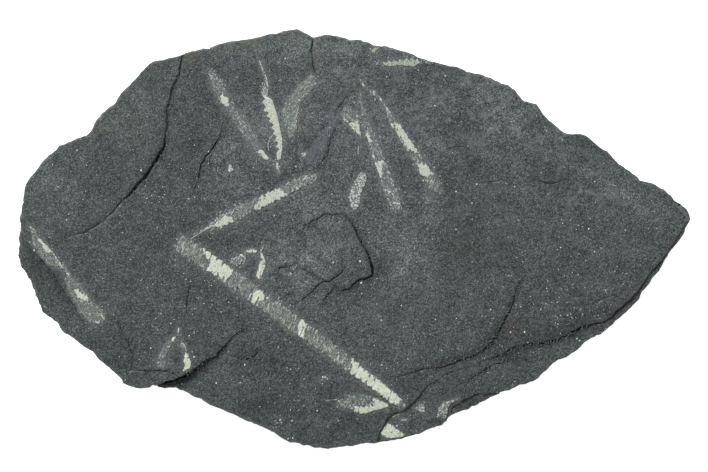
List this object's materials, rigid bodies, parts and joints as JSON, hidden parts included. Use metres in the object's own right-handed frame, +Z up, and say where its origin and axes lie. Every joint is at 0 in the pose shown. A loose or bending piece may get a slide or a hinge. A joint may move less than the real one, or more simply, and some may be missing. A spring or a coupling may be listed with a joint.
{
  "type": "graptolite fossil cluster",
  "caption": "Flat broken slab of dark shale with pale toothed graptolites pressed on its upper bedding plane; it lies on its flat underside.",
  "frame": {"origin": "centre of the slab's footprint, on the plane of its flat underside", "axes": "+X along the slab toward its pointed end, +Y across it toward its upper edge as the bedding plane is looked down on, +Z up through the bedding plane that carries the graptolites"},
  "size_m": [0.1012, 0.063, 0.0106],
  "materials": {
    "shale": "matt dark grey shale with fine grain, faintly green",
    "bright_film": "satin cream mineral film",
    "worn_film": "matt grey-green film, worn thin and streaky"
  },
  "bodies": {
    "root": {"shale_slab": "shale", "long_biserial_graptolite": "bright_film", "short_biserial_graptolite": "bright_film", "tuning_fork_left_stipe": "worn_film", "tuning_fork_right_stipe": "bright_film", "worn_top_stipe": "worn_film", "top_edge_stipe": "bright_film", "top_edge_chip": "bright_film", "right_pair_right_stipe": "bright_film", "right_pair_left_stipe": "worn_film", "speckled_fragment": "worn_film", "rounded_fragment": "bright_film", "centre_pair_right_stipe": "bright_film", "centre_pair_left_stipe": "worn_film", "lower_pair_right_stipe": "bright_film", "lower_pair_left_stipe": "worn_film", "left_margin_stipe": "bright_film", "lower_stipe_fragment": "bright_film", "bottom_triangular_fragment": "bright_film", "lower_right_fragment": "bright_film", "triangular_shred": "bright_film", "slanted_shred": "bright_film", "level_shred": "bright_film", "curled_shred": "bright_film", "left_chip": "bright_film", "centre_chip": "bright_film"}
  },
  "joints": []
}
